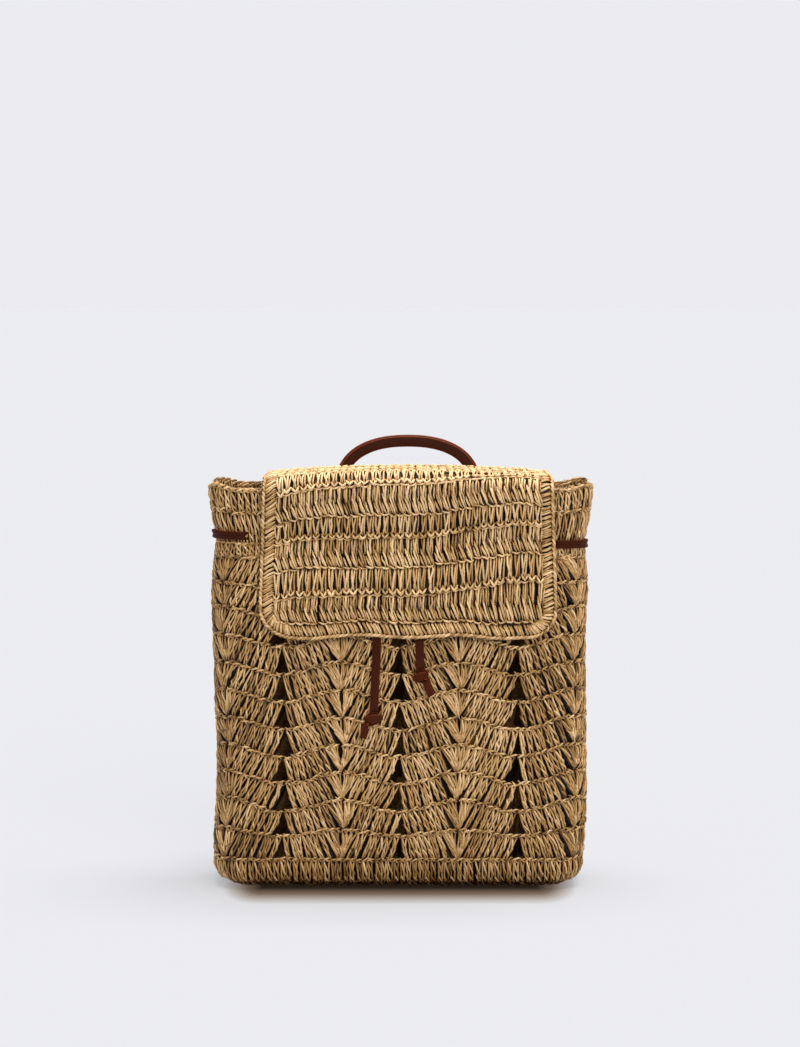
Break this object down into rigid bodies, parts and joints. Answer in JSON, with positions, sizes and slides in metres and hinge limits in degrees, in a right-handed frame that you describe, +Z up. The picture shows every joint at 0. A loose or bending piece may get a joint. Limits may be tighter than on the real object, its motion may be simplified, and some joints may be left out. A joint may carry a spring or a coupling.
{
  "type": "woven straw backpack",
  "caption": "Boxy crocheted straw backpack with openwork body, drawcord neck, front flap, leather top handle and shoulder straps.",
  "frame": {"origin": "middle of the base, on the surface that the bag stands on", "axes": "+Z up, the front with the flap looks along -Y, +X is to the right as seen from the front, and the shoulder straps are at +Y"},
  "size_m": [0.3168, 0.226, 0.3648],
  "materials": {
    "straw": "natural twisted paper straw, crocheted, slightly glossy",
    "handle_leather": "dark brown, smooth, stitched and burnished at the edge",
    "lace_leather": "red-brown flat lace, waxed",
    "strap_leather": "dark brown, smooth, plain"
  },
  "bodies": {
    "root": {"base_panel": "straw", "openwork_wall": "straw", "neck_band": "straw", "flap": "straw", "flap_edging": "straw", "drawcord_round": "lace_leather", "cord_tail_left": "lace_leather", "cord_tail_right": "lace_leather", "knot_left": "lace_leather", "knot_right": "lace_leather", "handle": "handle_leather", "shoulder_strap_left": "strap_leather", "shoulder_strap_right": "strap_leather"}
  },
  "joints": []
}
